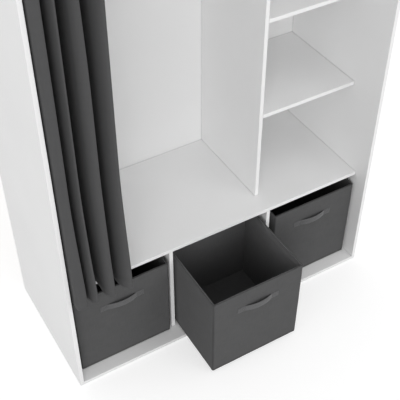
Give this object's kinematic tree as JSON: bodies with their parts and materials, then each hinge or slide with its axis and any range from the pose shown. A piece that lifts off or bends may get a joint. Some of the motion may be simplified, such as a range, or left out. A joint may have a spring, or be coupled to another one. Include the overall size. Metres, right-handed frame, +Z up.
{
  "type": "curtain wardrobe",
  "caption": "Open white wardrobe with a hanging bay, a column of shelves, pull-out fabric baskets below, and a grey curtain that draws across the front on a track.",
  "frame": {"origin": "middle of the bottom panel's underside, on the floor", "axes": "+X to the right seen from the front, +Y from the front to the back, +Z up"},
  "size_m": [1.04, 0.6278, 1.925],
  "materials": {
    "white_board": "white foil-faced board, matt, with the same edge band",
    "white_back_sheet": "white lacquered thin fibreboard, matt",
    "bolt_steel": "zinc-plated",
    "cam_zinc": "die-cast zinc, dull",
    "dowel_wood": "plain fluted beech",
    "pin_steel": "nickel-plated",
    "rail_chrome": "bright plated",
    "socket_metal": "bright plated die-casting",
    "screw_steel": "zinc-plated",
    "track_aluminium": "satin anodised",
    "glider_plastic": "moulded, satin",
    "curtain_cloth": "plain woven cloth, soft matt",
    "basket_cloth": "non-woven felt-like cloth, matt",
    "basket_card": "grey board",
    "strap_webbing": "folded and stitched strip of the cover's cloth"
  },
  "bodies": {
    "carcass": {"side_panel_left": "white_board", "side_panel_right": "white_board", "bottom_panel": "white_board", "middle_panel": "white_board", "top_panel": "white_board", "lower_partition_left": "white_board", "lower_partition_right": "white_board", "upper_partition": "white_board", "shelf_1": "white_board", "shelf_2": "white_board", "shelf_3": "white_board", "shelf_4": "white_board", "back_sheet_left": "white_back_sheet", "back_sheet_right": "white_back_sheet", "cam_bolts": "bolt_steel", "cam_discs": "cam_zinc", "dowels": "dowel_wood", "shelf_pins": "pin_steel", "clothes_rail": "rail_chrome", "rail_socket_left": "socket_metal", "rail_socket_right": "socket_metal", "rail_screws": "screw_steel", "track_screws": "screw_steel", "curtain_track": "track_aluminium", "track_stop_left": "glider_plastic", "track_stop_right": "glider_plastic", "curtain_glider_1": "glider_plastic", "curtain_pleat_1": "curtain_cloth"},
    "curtain_lead": {"curtain_glider_8": "glider_plastic", "curtain_pleat_8": "curtain_cloth"},
    "curtain_fold_2": {"curtain_glider_2": "glider_plastic", "curtain_pleat_2": "curtain_cloth"},
    "curtain_fold_3": {"curtain_glider_3": "glider_plastic", "curtain_pleat_3": "curtain_cloth"},
    "curtain_fold_4": {"curtain_glider_4": "glider_plastic", "curtain_pleat_4": "curtain_cloth"},
    "curtain_fold_5": {"curtain_glider_5": "glider_plastic", "curtain_pleat_5": "curtain_cloth"},
    "curtain_fold_6": {"curtain_glider_6": "glider_plastic", "curtain_pleat_6": "curtain_cloth"},
    "curtain_fold_7": {"curtain_glider_7": "glider_plastic", "curtain_pleat_7": "curtain_cloth"},
    "basket_left": {"basket_cover_left": "basket_cloth", "basket_cards_left": "basket_card", "basket_handle_left": "strap_webbing"},
    "basket_centre": {"basket_cover_centre": "basket_cloth", "basket_cards_centre": "basket_card", "basket_handle_centre": "strap_webbing"},
    "basket_right": {"basket_cover_right": "basket_cloth", "basket_cards_right": "basket_card", "basket_handle_right": "strap_webbing"}
  },
  "joints": [
    {"name": "curtain_draw", "type": "slide", "parent": "carcass", "child": "curtain_lead", "axis": [1, 0, 0], "range_m": [0, 0.834]},
    {"name": "curtain_fold_2_slide", "type": "slide", "parent": "carcass", "child": "curtain_fold_2", "axis": [1, 0, 0], "range_m": [0, 0.0584]},
    {"name": "curtain_fold_3_slide", "type": "slide", "parent": "carcass", "child": "curtain_fold_3", "axis": [1, 0, 0], "range_m": [0, 0.1294]},
    {"name": "curtain_fold_4_slide", "type": "slide", "parent": "carcass", "child": "curtain_fold_4", "axis": [1, 0, 0], "range_m": [0, 0.2158]},
    {"name": "curtain_fold_5_slide", "type": "slide", "parent": "carcass", "child": "curtain_fold_5", "axis": [1, 0, 0], "range_m": [0, 0.452]},
    {"name": "curtain_fold_6_slide", "type": "slide", "parent": "carcass", "child": "curtain_fold_6", "axis": [1, 0, 0], "range_m": [0, 0.6252]},
    {"name": "curtain_fold_7_slide", "type": "slide", "parent": "carcass", "child": "curtain_fold_7", "axis": [1, 0, 0], "range_m": [0, 0.7857]},
    {"name": "basket_left_slide", "type": "slide", "parent": "carcass", "child": "basket_left", "axis": [0, -1, 0], "range_m": [-0.092, 0.25]},
    {"name": "basket_centre_slide", "type": "slide", "parent": "carcass", "child": "basket_centre", "axis": [0, -1, 0], "range_m": [-0.298, 0.043]},
    {"name": "basket_right_slide", "type": "slide", "parent": "carcass", "child": "basket_right", "axis": [0, -1, 0], "range_m": [-0.092, 0.25]}
  ],
  "couplings": [
    {"joint": "curtain_fold_2_slide", "follows": "curtain_draw", "ratio": 0.0694},
    {"joint": "curtain_fold_3_slide", "follows": "curtain_draw", "ratio": 0.1546},
    {"joint": "curtain_fold_4_slide", "follows": "curtain_draw", "ratio": 0.2581},
    {"joint": "curtain_fold_5_slide", "follows": "curtain_draw", "ratio": 0.5414},
    {"joint": "curtain_fold_6_slide", "follows": "curtain_draw", "ratio": 0.7491},
    {"joint": "curtain_fold_7_slide", "follows": "curtain_draw", "ratio": 0.9415}
  ]
}
